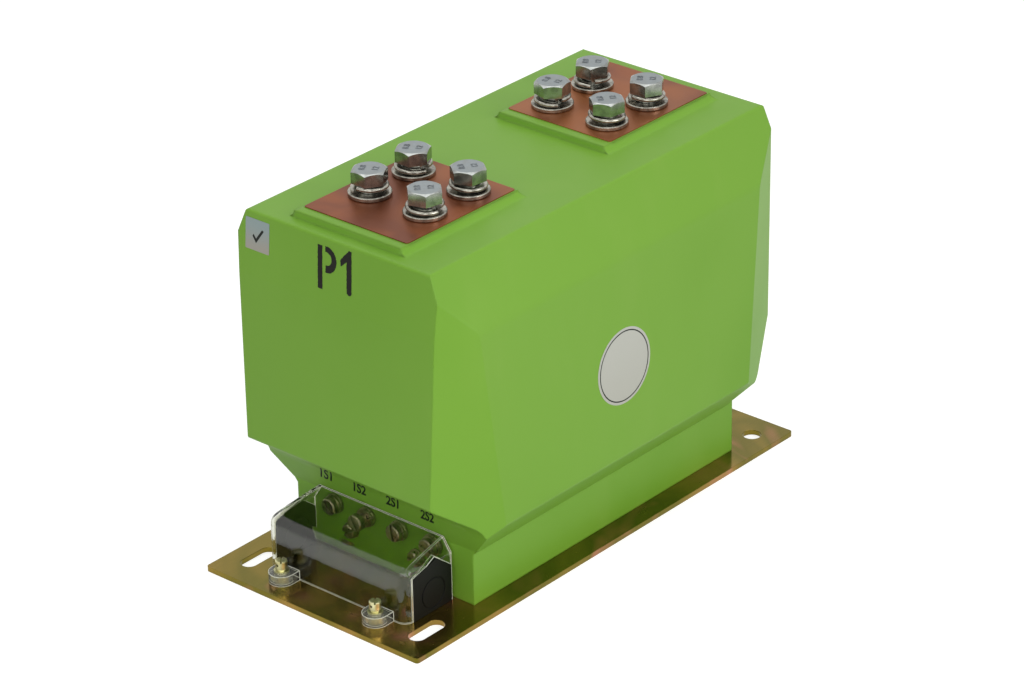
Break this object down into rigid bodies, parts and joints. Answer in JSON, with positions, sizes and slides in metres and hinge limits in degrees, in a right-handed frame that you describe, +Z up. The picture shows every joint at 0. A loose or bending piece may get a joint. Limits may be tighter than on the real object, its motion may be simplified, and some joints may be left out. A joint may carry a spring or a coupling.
{
  "type": "medium voltage current transformer",
  "caption": "Resin-cast block current transformer on a slotted steel plate, with raised copper primary terminals and a clear cover over its secondary terminals.",
  "frame": {"origin": "centre of the mounting plate's underside", "axes": "+X along the plate's length towards primary terminal P2, the secondary terminals face -X, +Z up through the primary terminals"},
  "size_m": [0.33, 0.1694, 0.2329],
  "materials": {
    "plate_steel": "yellow chromate over zinc, with olive and pink patches",
    "resin": "matt green cast resin",
    "copper_bar": "drawn copper",
    "pad_copper": "ground copper, browned",
    "core_steel": "wound strip",
    "winding_copper": "enamelled wire",
    "lead_insulation": "matt",
    "zinc_steel": "zinc plated",
    "brass": "turned",
    "clear_plastic": "clear, slightly smoky",
    "black_plastic": "satin",
    "yellow_zinc": "yellow zinc plated"
  },
  "bodies": {
    "root": {"base_plate": "plate_steel", "resin_body": "resin", "primary_conductor": "copper_bar", "core_1": "core_steel", "core_2": "core_steel", "secondary_winding_1": "winding_copper", "secondary_winding_2": "winding_copper", "secondary_lead_1s1": "lead_insulation", "secondary_lead_1s2": "lead_insulation", "secondary_lead_2s1": "lead_insulation", "secondary_lead_2s2": "lead_insulation", "p1_terminal_pad": "pad_copper", "p2_terminal_pad": "pad_copper", "p1_flat_washers": "zinc_steel", "p2_flat_washers": "zinc_steel", "p1_spring_washers": "zinc_steel", "p2_spring_washers": "zinc_steel", "p1_bolts": "zinc_steel", "p2_bolts": "zinc_steel", "secondary_inserts": "brass", "secondary_flat_washers": "zinc_steel", "secondary_spring_washers": "zinc_steel", "secondary_screws": "zinc_steel", "earthing_inserts": "brass", "earthing_strips": "copper_bar", "earthing_washers": "zinc_steel", "earthing_screws": "zinc_steel", "terminal_cover": "clear_plastic", "cable_plug_left": "black_plastic", "cable_plug_right": "black_plastic", "cover_sleeves": "brass", "cover_screws": "yellow_zinc", "body_fixing_inserts": "brass", "body_fixing_screws": "zinc_steel"}
  },
  "joints": []
}
